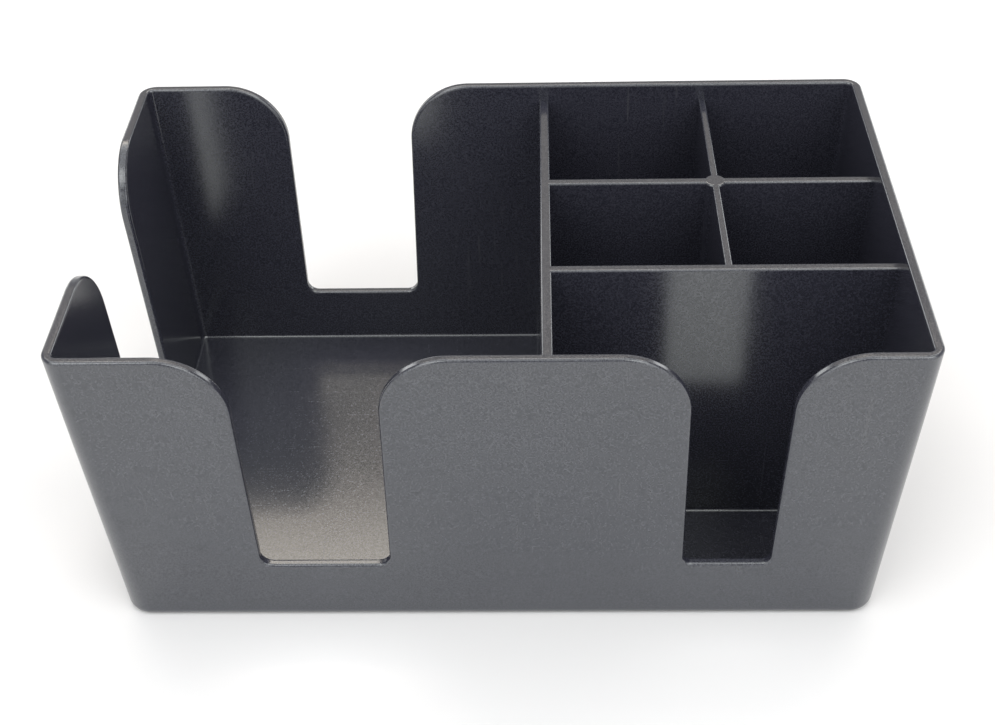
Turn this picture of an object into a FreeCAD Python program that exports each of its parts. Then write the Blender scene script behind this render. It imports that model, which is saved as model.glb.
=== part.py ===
import FreeCAD, Part
import math
import os

# Counter caddy for napkins, straws and coasters, moulded in one piece in stiff plastic.
# Millimetres. +X is to the right, +Y to the back and +Z up, seen from the front.
# The origin is the middle of the underside.
#
# The caddy is built whole, as a drafted box less its mould cores and its cut-outs, and is then
# parted into its panels, which meet face to face with no gap and no overlap.

# --- Driving dimensions: the box ---------------------------------------------------------------
RIM_LENGTH = 241.3          # outside, along X, at the rim
RIM_DEPTH = 148.0           # outside, along Y, at the rim
HEIGHT = 105.6
BASE_INSET = 5.3            # how far each wall leans out from the base to the rim
WALL = 3.0                  # thickness of the outer walls
FLOOR = 3.6                 # thickness of the floor
BASE_CORNER = 8.0           # rounding of the upright outer corners, at the base
RIM_CORNER = 5.6            # the same, at the rim
INNER_CORNER = 1.8          # rounding of the upright corners inside
BASE_ROUND = 3.0            # rounding under the outer walls
RIM_ROUND = 0.9             # rounding of the rim and of the edges of the cut-outs

# --- Driving dimensions: the dividers ----------------------------------------------------------
# Each is (where its middle lies, how thick it is at the top).
PARTITION = (15.4, 3.0)         # across X, between the napkin bay and the right-hand bays
COASTER_DIVIDER = (-24.8, 3.0)  # across Y, behind the coaster bay
STRAW_DIVIDER = (21.2, 3.0)     # across Y, between the two rows of straw cells
CELL_DIVIDER = (68.4, 2.2)      # across X, between the left and right straw cells
DIVIDER_FLARE = 1.2             # how much thicker each divider is at the base, by its draft
DIVIDER_DROP = 5.75             # how far the dividers stop below the rim
DIVIDER_ROUND = 0.7             # rounding along the dividers' top edges
FLOOR_FILLET = 1.0              # where walls and dividers meet the floor
BOSS_TOP_RADIUS = 3.35          # round post where the straw cells meet
BOSS_BASE_RADIUS = 3.8

# --- Driving dimensions: the cut-outs ----------------------------------------------------------
NOTCH_BOTTOM = 23.3         # height of the lower edge of each cut-out
NOTCH_SHOULDER = 20.0       # radius where a cut-out opens into the rim
NOTCH_DRAFT = 0.9           # degrees that each side of a cut-out leans outward
NAPKIN_NOTCH_X = -51.1      # middle of the two cut-outs, front and back, of the napkin bay
FRONT_NAPKIN_NOTCH = 38.7   # widths at the lower edge, before the corners are rounded
BACK_NAPKIN_NOTCH = 40.0
SIDE_NAPKIN_NOTCH = 39.8
NAPKIN_NOTCH_CORNER = 4.0
COASTER_NOTCH_X = 68.5      # middle of the cut-out in front of the coaster bay
COASTER_NOTCH = 25.9
COASTER_NOTCH_CORNER = 3.0

# --- Driving dimensions: where the moulding is parted into panels --------------------------------
CORNER_ZONE = 8.5           # how far a corner piece reaches in from the outsides of its walls
FLOOR_STEP = 0.1            # the floor pan's parting, above the fillets round the floor
SILL_STEP = 0.3             # the sills' parting, above the lower edges of the cut-outs
BOSS_STEP = 0.5             # the post's parting, outside its surface

HALF_LENGTH = RIM_LENGTH / 2
HALF_DEPTH = RIM_DEPTH / 2
DIVIDER_TOP = HEIGHT - DIVIDER_DROP
FLOOR_LINE = FLOOR + FLOOR_FILLET + FLOOR_STEP
SILL_LINE = NOTCH_BOTTOM + SILL_STEP
OVERSHOOT = 5.0             # how far a cutting tool passes through what it cuts
TINY = 0.01
PROBE = 0.05


def vector(x, y, z):
    return FreeCAD.Vector(x, y, z)


def plane_x_or_y(at_base, at_rim):
    """A drafted flat side: its coordinate along X or Y, as a function of the height."""
    return lambda z: at_base + (at_rim - at_base) * z / HEIGHT


def outer_side(half_size, sign, depth=0.0):
    """The outside of a wall, or a face that lies that depth further in."""
    return plane_x_or_y(sign * (half_size - BASE_INSET - depth), sign * (half_size - depth))


def divider_side(divider, sign, margin=0.0):
    """The face of a divider on its low (-1) or high (+1) side, or a face that margin further out."""
    middle, top_thickness = divider
    top = top_thickness / 2 + margin
    base = top + DIVIDER_FLARE / 2
    return plane_x_or_y(middle + sign * base, middle + sign * top)


def drafted_block(x_low, x_high, y_low, y_high, z_low, z_high):
    """A closed block with flat, drafted sides. The four sides are functions of the height."""

    def ring(z):
        return [
            vector(x_low(z), y_low(z), z),
            vector(x_high(z), y_low(z), z),
            vector(x_high(z), y_high(z), z),
            vector(x_low(z), y_high(z), z),
        ]

    low = ring(z_low)
    high = ring(z_high)
    outlines = [low[::-1], high]
    for i in range(4):
        j = (i + 1) % 4
        outlines.append([low[i], low[j], high[j], high[i]])
    faces = [Part.Face(Part.makePolygon(points + points[:1])) for points in outlines]
    return Part.makeSolid(Part.makeShell(faces))


def is_upright(edge):
    ends = edge.Vertexes
    return len(ends) == 2 and abs(ends[0].Z - ends[1].Z) > HEIGHT / 4


def edge_middle(edge):
    return edge.valueAt((edge.FirstParameter + edge.LastParameter) / 2)


def lies_at(edge, z):
    """Whether the whole edge lies at one height."""
    box = edge.BoundBox
    return abs(box.ZMin - z) < TINY and abs(box.ZMax - z) < TINY


def outer_block():
    """The box without its hollow. Its corners are rounder at the base than at the rim."""
    block = drafted_block(
        outer_side(HALF_LENGTH, -1),
        outer_side(HALF_LENGTH, 1),
        outer_side(HALF_DEPTH, -1),
        outer_side(HALF_DEPTH, 1),
        0.0,
        HEIGHT,
    )
    for upright in [e for e in block.Edges if is_upright(e)]:
        corner = edge_middle(upright)
        same = [e for e in block.Edges if is_upright(e) and edge_middle(e).isEqual(corner, TINY)]
        starts_at_rim = same[0].valueAt(same[0].FirstParameter).z > corner.z
        radii = (RIM_CORNER, BASE_CORNER) if starts_at_rim else (BASE_CORNER, RIM_CORNER)
        block = block.makeFillet(*radii, same)
    return block.makeFillet(BASE_ROUND, [e for e in block.Edges if lies_at(e, 0.0)])


def is_box_corner(edge):
    """Whether an upright edge of a core stands in a corner of the box."""
    middle = edge_middle(edge)
    corner_x = outer_side(HALF_LENGTH, 1, CORNER_ZONE)(middle.z)
    corner_y = outer_side(HALF_DEPTH, 1, CORNER_ZONE)(middle.z)
    return abs(middle.x) > corner_x and abs(middle.y) > corner_y


def mould_core(x_low, x_high, y_low, y_high):
    """The space of one bay, from the floor to the level of the dividers' tops."""
    core = drafted_block(x_low, x_high, y_low, y_high, FLOOR, DIVIDER_TOP)
    corners = [e for e in core.Edges if is_upright(e) and is_box_corner(e)]
    if corners:
        core = core.makeFillet(INNER_CORNER, corners)
    return core.makeFillet(FLOOR_FILLET, [e for e in core.Edges if lies_at(e, FLOOR)])


def slab(z_low, z_high):
    """All there is between two heights."""
    length = RIM_LENGTH + 2 * OVERSHOOT
    depth = RIM_DEPTH + 2 * OVERSHOOT
    return Part.makeBox(length, depth, z_high - z_low, vector(-length / 2, -depth / 2, z_low))


def space_over_dividers():
    """The space inside the walls from the dividers' tops to above the rim."""
    block = drafted_block(
        outer_side(HALF_LENGTH, -1, WALL),
        outer_side(HALF_LENGTH, 1, WALL),
        outer_side(HALF_DEPTH, -1, WALL),
        outer_side(HALF_DEPTH, 1, WALL),
        FLOOR,
        HEIGHT + OVERSHOOT,
    )
    block = block.makeFillet(INNER_CORNER, [e for e in block.Edges if is_upright(e)])
    return block.common(slab(DIVIDER_TOP, HEIGHT + 2 * OVERSHOOT))


def boss_post(margin=0.0):
    return Part.makeCone(
        BOSS_BASE_RADIUS + margin,
        BOSS_TOP_RADIUS + margin,
        DIVIDER_TOP - FLOOR + margin,
        vector(CELL_DIVIDER[0], STRAW_DIVIDER[0], FLOOR),
    )


def inner_space():
    """All that is hollow: six bays, less the post where four of them meet, and the space over them."""
    left = outer_side(HALF_LENGTH, -1, WALL)
    right = outer_side(HALF_LENGTH, 1, WALL)
    front = outer_side(HALF_DEPTH, -1, WALL)
    back = outer_side(HALF_DEPTH, 1, WALL)

    space = mould_core(left, divider_side(PARTITION, -1), front, back)
    columns = [
        (divider_side(PARTITION, 1), divider_side(CELL_DIVIDER, -1)),
        (divider_side(CELL_DIVIDER, 1), right),
    ]
    rows = [
        (divider_side(COASTER_DIVIDER, 1), divider_side(STRAW_DIVIDER, -1)),
        (divider_side(STRAW_DIVIDER, 1), back),
    ]
    cores = [mould_core(divider_side(PARTITION, 1), right, front, divider_side(COASTER_DIVIDER, -1))]
    cores += [mould_core(*column, *row) for column in columns for row in rows]
    space = space.fuse(cores).cut(boss_post())
    return space.fuse(space_over_dividers()).removeSplitter()


def notch_profile(width, corner):
    """Outline of a cut-out in the XZ plane, about x = 0, from its lower edge to above the rim."""
    lean = math.radians(NOTCH_DRAFT)
    along = vector(math.sin(lean), 0, math.cos(lean))
    outward = vector(math.cos(lean), 0, -math.sin(lean))
    down = vector(0, 0, -1)
    foot = vector(width / 2, 0, NOTCH_BOTTOM)

    corner_travel = corner * (1 - math.sin(lean)) / math.cos(lean)
    corner_centre = foot + along * corner_travel - outward * corner
    corner_start = corner_centre + down * corner
    corner_middle = corner_centre + (outward + down).normalize() * corner
    corner_end = corner_centre + outward * corner

    rise = HEIGHT - NOTCH_BOTTOM - NOTCH_SHOULDER * (1 - math.sin(lean))
    shoulder_centre = foot + along * (rise / math.cos(lean)) + outward * NOTCH_SHOULDER
    shoulder_start = shoulder_centre - outward * NOTCH_SHOULDER
    shoulder_middle = shoulder_centre - (outward + down).normalize() * NOTCH_SHOULDER
    shoulder_end = shoulder_centre - down * NOTCH_SHOULDER
    top = shoulder_end - down * OVERSHOOT

    def mirrored(point):
        return vector(-point.x, point.y, point.z)

    half = [
        Part.Arc(corner_start, corner_middle, corner_end),
        Part.LineSegment(corner_end, shoulder_start),
        Part.Arc(shoulder_start, shoulder_middle, shoulder_end),
        Part.LineSegment(shoulder_end, top),
    ]
    other_half = [
        Part.Arc(mirrored(corner_start), mirrored(corner_middle), mirrored(corner_end)),
        Part.LineSegment(mirrored(corner_end), mirrored(shoulder_start)),
        Part.Arc(mirrored(shoulder_start), mirrored(shoulder_middle), mirrored(shoulder_end)),
        Part.LineSegment(mirrored(shoulder_end), mirrored(top)),
    ]
    joins = [Part.LineSegment(mirrored(corner_start), corner_start), Part.LineSegment(mirrored(top), top)]
    edges = [curve.toShape() for curve in half + other_half + joins]
    return Part.Face(Part.Wire(Part.__sortEdges__(edges)))


def notch_tool(width, corner):
    """A cutting tool with that outline, which runs along Y from y = 0 to past the wall."""
    length = BASE_INSET + WALL + 2 * OVERSHOOT
    return notch_profile(width, corner).extrude(vector(0, length, 0))


def notch_tools():
    length = BASE_INSET + WALL + 2 * OVERSHOOT
    front_napkin = notch_tool(FRONT_NAPKIN_NOTCH, NAPKIN_NOTCH_CORNER)
    front_napkin.translate(vector(NAPKIN_NOTCH_X, -HALF_DEPTH - OVERSHOOT, 0))
    front_coaster = notch_tool(COASTER_NOTCH, COASTER_NOTCH_CORNER)
    front_coaster.translate(vector(COASTER_NOTCH_X, -HALF_DEPTH - OVERSHOOT, 0))
    back_napkin = notch_tool(BACK_NAPKIN_NOTCH, NAPKIN_NOTCH_CORNER)
    back_napkin.translate(vector(NAPKIN_NOTCH_X, HALF_DEPTH + OVERSHOOT - length, 0))
    side_napkin = notch_tool(SIDE_NAPKIN_NOTCH, NAPKIN_NOTCH_CORNER)
    side_napkin.rotate(vector(0, 0, 0), vector(0, 0, 1), 90)
    side_napkin.translate(vector(length - HALF_LENGTH - OVERSHOOT, 0, 0))
    return [front_napkin, front_coaster, back_napkin, side_napkin]


def normal_at(face, point):
    u, v = face.Surface.parameter(point)
    return face.normalAt(u, v)


def convex_edges(shape, accept):
    """The edges that meet accept and whose two faces stand at an outward angle there."""
    found = []
    for edge in shape.Edges:
        middle = edge_middle(edge)
        if not accept(edge, middle):
            continue
        faces = shape.ancestorsOfType(edge, Part.Face)
        if len(faces) != 2:
            continue
        first, second = [normal_at(face, middle) for face in faces]
        is_sharp = first.dot(second) < 0.7
        beside = middle + (first - second) * PROBE
        if is_sharp and not shape.isInside(beside, TINY / 10, False):
            found.append(edge)
    return found


def is_inside_walls(point):
    """Whether a point lies clear of the outer walls, among the dividers."""
    in_x = abs(point.x) < outer_side(HALF_LENGTH, 1, WALL)(point.z) - TINY
    in_y = abs(point.y) < outer_side(HALF_DEPTH, 1, WALL)(point.z) - TINY
    return in_x and in_y


def is_on_rim_or_notch(edge, middle):
    return middle.z > NOTCH_BOTTOM - TINY and not is_inside_walls(middle)


def is_divider_top(edge, middle):
    return lies_at(edge, DIVIDER_TOP) and is_inside_walls(middle)


def moulding():
    """The whole caddy as one solid."""
    body = outer_block().cut(inner_space())
    body = body.makeFillet(DIVIDER_ROUND, convex_edges(body, is_divider_top))
    body = body.cut(notch_tools())
    return body.makeFillet(RIM_ROUND, convex_edges(body, is_on_rim_or_notch))


def divider_regions():
    """The space of each divider above the floor pan, from wall to wall or from divider to divider."""
    partition_left = divider_side(PARTITION, -1, OVERSHOOT)
    partition_right = divider_side(PARTITION, 1)
    right = outer_side(HALF_LENGTH, 1, WALL)
    front = outer_side(HALF_DEPTH, -1, WALL)
    back = outer_side(HALF_DEPTH, 1, WALL)
    coaster_front = divider_side(COASTER_DIVIDER, -1, OVERSHOOT)
    coaster_back = divider_side(COASTER_DIVIDER, 1)
    straw_front = divider_side(STRAW_DIVIDER, -1)
    straw_back = divider_side(STRAW_DIVIDER, 1)
    cell_left = divider_side(CELL_DIVIDER, -1, OVERSHOOT)
    cell_right = divider_side(CELL_DIVIDER, 1, OVERSHOOT)
    cell_middle = plane_x_or_y(CELL_DIVIDER[0], CELL_DIVIDER[0])
    sides = {
        "centre_partition": (partition_left, partition_right, front, back),
        "coaster_divider": (partition_right, right, coaster_front, coaster_back),
        "straw_divider_left": (partition_right, cell_middle, straw_front, straw_back),
        "straw_divider_right": (cell_middle, right, straw_front, straw_back),
        "cell_divider_front": (cell_left, cell_right, coaster_back, straw_front),
        "cell_divider_back": (cell_left, cell_right, straw_back, back),
    }
    post = boss_post(BOSS_STEP)
    regions = {"divider_post": post}
    for name, four_sides in sides.items():
        regions[name] = drafted_block(*four_sides, FLOOR_LINE, HEIGHT).cut(post)
    return regions


def wall_regions():
    """The space of each straight wall and of each upright corner, above the floor pan."""

    def spans(half_size, low_name, high_name):
        past_low = outer_side(half_size, -1, -OVERSHOOT)
        low = outer_side(half_size, -1, CORNER_ZONE)
        high = outer_side(half_size, 1, CORNER_ZONE)
        past_high = outer_side(half_size, 1, -OVERSHOOT)
        return {low_name: (past_low, low), "": (low, high), high_name: (high, past_high)}

    regions = {}
    for end, span_x in spans(HALF_LENGTH, "left", "right").items():
        for face, span_y in spans(HALF_DEPTH, "front", "back").items():
            if end or face:
                name = "_".join(word for word in (face, end) if word)
                regions[name] = drafted_block(*span_x, *span_y, FLOOR_LINE, HEIGHT)
    return regions


def panels(wall, names, axis):
    """A notched wall as its sill and the panels that stand on it, named in order along an axis."""
    sill = wall.common(slab(0.0, SILL_LINE))
    standing = wall.common(slab(SILL_LINE, HEIGHT + OVERSHOOT)).Solids
    standing.sort(key=lambda solid: getattr(solid.CenterOfMass, axis))
    if len(standing) != len(names) - 1:
        raise ValueError(f"{len(standing)} panels for the names {names}")
    return dict(zip(names, [sill] + standing))


def part_into_nodes(body):
    """The moulding, parted into its named panels."""
    floor_pan = body.common(slab(-OVERSHOOT, FLOOR_LINE))
    above = body.common(slab(FLOOR_LINE, HEIGHT + OVERSHOOT))
    dividers = {name: above.common(region) for name, region in divider_regions().items()}
    walls = above.cut(list(dividers.values()))
    pieces = {name: walls.common(region) for name, region in wall_regions().items()}

    nodes = {"floor_pan": floor_pan, "right_wall": pieces.pop("right")}
    front_names = ["front_sill", "front_panel_left", "front_panel_centre", "front_panel_right"]
    nodes.update(panels(pieces.pop("front"), front_names, "x"))
    nodes.update(panels(pieces.pop("back"), ["back_sill", "back_panel_left", "back_panel_right"], "x"))
    nodes.update(panels(pieces.pop("left"), ["left_sill", "left_panel_front", "left_panel_back"], "y"))
    nodes.update({f"corner_{name}": piece for name, piece in pieces.items()})
    nodes.update(dividers)
    return nodes


def main():
    os.makedirs("parts", exist_ok=True)
    body = moulding()
    total = 0.0
    for name, shape in part_into_nodes(body).items():
        solids = shape.Solids
        if len(solids) != 1 or not solids[0].isValid():
            raise ValueError(f"{name} has {len(solids)} solids, or one that isn't sound")
        solids[0].exportStep(f"parts/{name}.step")
        total += solids[0].Volume
        print(f"{name}: {solids[0].Volume:.1f} mm3")
    print(f"all pieces {total:.1f} mm3, moulding {body.Volume:.1f} mm3")


main()
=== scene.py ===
import math

import bpy
from mathutils import Matrix, Vector

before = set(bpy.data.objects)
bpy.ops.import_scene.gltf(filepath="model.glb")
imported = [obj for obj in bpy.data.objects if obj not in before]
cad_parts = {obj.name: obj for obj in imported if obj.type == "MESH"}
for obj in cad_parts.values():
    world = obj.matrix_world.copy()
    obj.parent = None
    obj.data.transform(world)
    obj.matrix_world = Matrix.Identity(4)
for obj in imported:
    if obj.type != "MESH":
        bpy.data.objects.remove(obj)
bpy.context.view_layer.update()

# --- Camera: in front of the caddy and above it, in metres, with its lens in millimetres --------
CAMERA_PLACE = (0.01326, -0.39677, 0.37007)
CAMERA_YAW = math.radians(1.96)
CAMERA_PITCH = math.radians(39.37)
CAMERA_ROLL = math.radians(-1.63)
CAMERA_LENS = 57.26
CAMERA_SENSOR = 36.0

# --- Studio: a round white floor, a plain sky and softboxes, in metres --------------------------
FLOOR_RADIUS = 2.5
FLOOR_SIDES = 128
FLOOR_WHITE = (0.81, 0.81, 0.81, 1)
SKY_HORIZON = 0.9
SKY_OVERHEAD = 0.27
SKY_FADE = math.radians(30)
LIGHT_DISTANCE = 2.5
LIGHT_AIM = Vector((0, 0, 0.05))
NEUTRAL = (1.0, 1.0, 1.0)
WARM = (1.0, 0.88, 0.77)
WARM_FILL = (1.0, 0.9, 0.75)

# --- Plastic: its colours, and its gloss -------------------------------------------------------
PLASTIC_DARK = (0.0140, 0.0146, 0.0222, 1)
PLASTIC_LIGHT = (0.0203, 0.0209, 0.0308, 1)
PLASTIC_GRAIN = (0.068, 0.069, 0.090, 1)
SHEEN_TINT = (0.96, 1.0, 0.985, 1)
# scuff grey, also used for the painted highlight on the rounded edges
SCUFF_AND_GLINT = (0.16, 0.16, 0.16, 1)
IOR = 1.87
ROUGHNESS = 0.18
CLOUD_GLOSS = 0.02          # how far the cloudiness moves the roughness either way
GRAIN_GLOSS = 0.02          # and the grain
MARK_GLOSS = 0.03           # how much rougher a mark is
GRAIN_SHEEN = (0.42, 0.58)  # the reflection's level, from the grain's dark spots to its light ones

# --- Plastic: its textures, with all waves counted per metre ------------------------------------
GRAIN_WAVES = 1800.0
GRAIN_TINT = 0.48
GRAIN_DEPTH = 0.00005
GRAIN_STRENGTH = 0.12
CLOUD_WAVES = 22.0
PATCH_WAVES = 16.0
DRAG_WAVES = (600, 600, 14)
DRAG_TINT = 0.13
SCRATCH_WAVES = (35, 1100, 35)
SCRATCH_TURN = math.radians(28)
CROSS_SCRATCH_WAVES = (1100, 35, 35)
CROSS_SCRATCH_TURN = math.radians(-17)
SCRATCH_TINT = 0.04
# edge lightening: partly wear, partly a painted highlight on the rounded edges
WEAR_AND_GLINT_WAVES = 160
WEAR_AND_GLINT_TINT = 0.08


def add_camera():
    camera_data = bpy.data.cameras.new("camera")
    camera_data.sensor_fit = "HORIZONTAL"
    camera_data.sensor_width = CAMERA_SENSOR
    camera_data.lens = CAMERA_LENS
    camera_data.clip_start = 0.01
    camera = bpy.data.objects.new("camera", camera_data)
    turn = Matrix.Rotation(CAMERA_YAW, 4, "Z")
    tilt = Matrix.Rotation(math.radians(90) - CAMERA_PITCH, 4, "X")
    roll = Matrix.Rotation(CAMERA_ROLL, 4, "Z")
    camera.matrix_world = Matrix.Translation(CAMERA_PLACE) @ turn @ tilt @ roll
    bpy.context.scene.collection.objects.link(camera)
    bpy.context.scene.camera = camera


def add_floor():
    mesh = bpy.data.meshes.new("floor")
    rim = []
    for side in range(FLOOR_SIDES):
        angle = math.tau * side / FLOOR_SIDES
        rim.append((FLOOR_RADIUS * math.cos(angle), FLOOR_RADIUS * math.sin(angle), 0))
    mesh.from_pydata(rim, [], [tuple(range(FLOOR_SIDES))])
    floor = bpy.data.objects.new("floor", mesh)
    bpy.context.scene.collection.objects.link(floor)
    material = bpy.data.materials.new("white_sweep")
    material.use_nodes = True
    shader = material.node_tree.nodes["Principled BSDF"]
    shader.inputs["Base Color"].default_value = FLOOR_WHITE
    shader.inputs["Roughness"].default_value = 0.9
    shader.inputs["Specular IOR Level"].default_value = 0.1
    mesh.materials.append(material)


def add_world():
    """A plain sky, lightest along the horizon, that fades to its overhead radiance at SKY_FADE."""
    world = bpy.data.worlds.new("studio")
    world.use_nodes = True
    tree = world.node_tree
    direction = tree.nodes.new("ShaderNodeTexCoord").outputs["Generated"]
    split = tree.nodes.new("ShaderNodeSeparateXYZ")
    tree.links.new(direction, split.inputs["Vector"])
    fade = tree.nodes.new("ShaderNodeMapRange")
    tree.links.new(split.outputs["Z"], fade.inputs["Value"])
    fade.inputs["From Min"].default_value = 0.0
    fade.inputs["From Max"].default_value = math.sin(SKY_FADE)
    fade.inputs["To Min"].default_value = SKY_HORIZON
    fade.inputs["To Max"].default_value = SKY_OVERHEAD
    background = tree.nodes["Background"]
    background.inputs["Color"].default_value = (1, 1, 1, 1)
    tree.links.new(fade.outputs["Result"], background.inputs["Strength"])
    bpy.context.scene.world = world


def add_softbox(name, turn, height, width, spread, radiance, tint=NEUTRAL):
    """A square soft light that faces the caddy, placed and sized by angles as seen from the caddy.

    turn is its direction in degrees, 0 at the back and 90 on the right; height is its angle above
    the floor; width and spread are half of the angles it fills across and upward.
    """
    across = math.radians(turn)
    upward = math.radians(height)
    direction = Vector((
        math.cos(upward) * math.sin(across),
        math.cos(upward) * math.cos(across),
        math.sin(upward),
    ))
    light = bpy.data.lights.new(name, "AREA")
    light.shape = "RECTANGLE"
    light.size = 2 * LIGHT_DISTANCE * math.tan(math.radians(width))
    light.size_y = 2 * LIGHT_DISTANCE * math.tan(math.radians(spread))
    light.energy = radiance * math.pi * light.size * light.size_y
    light.color = tint
    lamp = bpy.data.objects.new(name, light)
    facing = direction.to_track_quat("Z", "Y").to_matrix().to_4x4()
    lamp.matrix_world = Matrix.Translation(direction * LIGHT_DISTANCE + LIGHT_AIM) @ facing
    bpy.context.scene.collection.objects.link(lamp)


def add_lights():
    add_softbox("back_softbox", turn=0, height=49, width=32, spread=4.5, radiance=4.0, tint=WARM)
    add_softbox("back_high_softbox", turn=0, height=60, width=32, spread=7, radiance=0.6)
    add_softbox("back_fill", turn=0, height=34, width=35, spread=5, radiance=0.5, tint=WARM_FILL)
    add_softbox("top_softbox", turn=0, height=90, width=42, spread=42, radiance=1.12)
    for side in (-1, 1):
        add_softbox("front_softbox", turn=135 * side, height=50, width=20, spread=16, radiance=2.1)
        add_softbox("front_low_softbox", turn=140 * side, height=20, width=20, spread=10, radiance=1.6)
        add_softbox("rim_strip", turn=37 * side, height=12, width=6, spread=8, radiance=2.5)


class Nodes:
    """A small helper that adds and links shader nodes in one material."""

    def __init__(self, tree):
        self.tree = tree
        self.place = self.add("ShaderNodeTexCoord").outputs["Object"]
        self.normal = self.add("ShaderNodeNewGeometry").outputs["Normal"]

    def add(self, kind, **inputs):
        node = self.tree.nodes.new(kind)
        for name, value in inputs.items():
            self.put(node.inputs[name.replace("_", " ")], value)
        return node

    def put(self, socket, value):
        """Sets a socket to a constant, or links it to another node's output."""
        if isinstance(value, bpy.types.NodeSocket):
            self.tree.links.new(value, socket)
        else:
            socket.default_value = value

    def math(self, operation, first, second=0.0):
        node = self.add("ShaderNodeMath")
        node.operation = operation
        self.put(node.inputs[0], first)
        self.put(node.inputs[1], second)
        return node.outputs[0]

    def noise(self, waves, detail, turn=0.0):
        """Noise with its own number of waves per metre along X, Y and Z, turned about Z."""
        mapping = self.add("ShaderNodeMapping", Vector=self.place, Rotation=(0, 0, turn), Scale=waves)
        texture = self.add("ShaderNodeTexNoise", Vector=mapping.outputs[0], Scale=1.0, Detail=detail)
        return texture.outputs["Fac"]

    def spread(self, value, low, high, to_low=0.0, to_high=1.0):
        """Maps the range low to high onto to_low to to_high, and holds the ends."""
        node = self.add("ShaderNodeMapRange", Value=value)
        for socket, number in zip(node.inputs[1:5], (low, high, to_low, to_high)):
            socket.default_value = number
        return node.outputs["Result"]

    def blend(self, amount, first, second):
        node = self.add("ShaderNodeMix")
        node.data_type = "RGBA"
        self.put(node.inputs["Factor"], amount)
        self.put(node.inputs[6], first)
        self.put(node.inputs[7], second)
        return node.outputs[2]

    def scaled_blend(self, mask, share, first, second):
        """Blends toward second by no more than share, where the mask is whole."""
        return self.blend(self.math("MULTIPLY", mask, share), first, second)


def drag_marks(nodes, facing):
    """Upright streaks, in patches, where things slid in and out along a wall."""
    is_upright = nodes.spread(nodes.math("ABSOLUTE", facing), 0.12, 0.2, 1.0, 0.0)
    patch = nodes.spread(nodes.noise((PATCH_WAVES,) * 3, 2.0), 0.54, 0.70)
    drag = nodes.spread(nodes.noise(DRAG_WAVES, 2.0), 0.62, 0.74)
    return nodes.math("MULTIPLY", nodes.math("MULTIPLY", drag, patch), is_upright)


def scratches(nodes, facing):
    """Fine lines in two directions on level faces, such as the floor of a bay."""
    is_level = nodes.spread(facing, 0.93, 0.99)
    along = nodes.spread(nodes.noise(SCRATCH_WAVES, 1.0, SCRATCH_TURN), 0.66, 0.74)
    across = nodes.spread(nodes.noise(CROSS_SCRATCH_WAVES, 1.0, CROSS_SCRATCH_TURN), 0.67, 0.75)
    return nodes.math("MULTIPLY", nodes.math("MAXIMUM", along, across), is_level)


def edge_wear_and_glint(nodes, facing):
    """Broken lightening on the rounded edges, which face neither straight up nor sideways: partly wear,
    partly a painted highlight that stands in for glints on the rims.
    """
    past_upright = nodes.spread(facing, 0.2, 0.45)
    short_of_level = nodes.spread(facing, 0.9, 0.98, 1.0, 0.0)
    broken = nodes.spread(nodes.noise((WEAR_AND_GLINT_WAVES,) * 3, 4.0), 0.45, 0.75)
    return nodes.math("MULTIPLY", nodes.math("MULTIPLY", past_upright, short_of_level), broken)


def black_plastic():
    """Satin black plastic: a fine moulded grain, cloudy gloss, drag marks, scratches, and edges
    lightened partly by wear and partly as a painted highlight.
    """
    material = bpy.data.materials.new("black_plastic")
    material.use_nodes = True
    tree = material.node_tree
    shader = tree.nodes["Principled BSDF"]
    nodes = Nodes(tree)

    grain = nodes.noise((GRAIN_WAVES,) * 3, 2.0)
    cloud = nodes.noise((CLOUD_WAVES,) * 3, 3.0)
    facing = nodes.add("ShaderNodeSeparateXYZ", Vector=nodes.normal).outputs["Z"]
    drag = drag_marks(nodes, facing)
    scratch = scratches(nodes, facing)
    wear_and_glint = edge_wear_and_glint(nodes, facing)

    color = nodes.blend(cloud, PLASTIC_DARK, PLASTIC_LIGHT)
    color = nodes.blend(nodes.spread(grain, 0.3, 0.7, 0.0, GRAIN_TINT), color, PLASTIC_GRAIN)
    color = nodes.scaled_blend(drag, DRAG_TINT, color, SCUFF_AND_GLINT)
    color = nodes.scaled_blend(scratch, SCRATCH_TINT, color, SCUFF_AND_GLINT)
    # lighter rounded edges: partly wear, partly a painted highlight of glints on the rims
    color = nodes.scaled_blend(wear_and_glint, WEAR_AND_GLINT_TINT, color, SCUFF_AND_GLINT)

    gloss = nodes.spread(cloud, 0.3, 0.7, ROUGHNESS - CLOUD_GLOSS, ROUGHNESS + CLOUD_GLOSS)
    gloss = nodes.math("ADD", gloss, nodes.spread(grain, 0.3, 0.7, -GRAIN_GLOSS, GRAIN_GLOSS))
    marks = nodes.math("MAXIMUM", drag, scratch)
    gloss = nodes.math("ADD", gloss, nodes.math("MULTIPLY", marks, MARK_GLOSS))

    bump = nodes.add("ShaderNodeBump", Strength=GRAIN_STRENGTH, Distance=GRAIN_DEPTH, Height=grain)
    nodes.put(shader.inputs["Base Color"], color)
    nodes.put(shader.inputs["Roughness"], gloss)
    nodes.put(shader.inputs["Normal"], bump.outputs[0])
    nodes.put(shader.inputs["Specular IOR Level"], nodes.spread(grain, 0.3, 0.7, *GRAIN_SHEEN))
    shader.inputs["IOR"].default_value = IOR
    shader.inputs["Specular Tint"].default_value = SHEEN_TINT
    return material


plastic = black_plastic()
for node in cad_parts.values():
    node.data.materials.clear()
    node.data.materials.append(plastic)

add_floor()
add_world()
add_lights()
add_camera()
bpy.context.scene.view_settings.view_transform = "Standard"
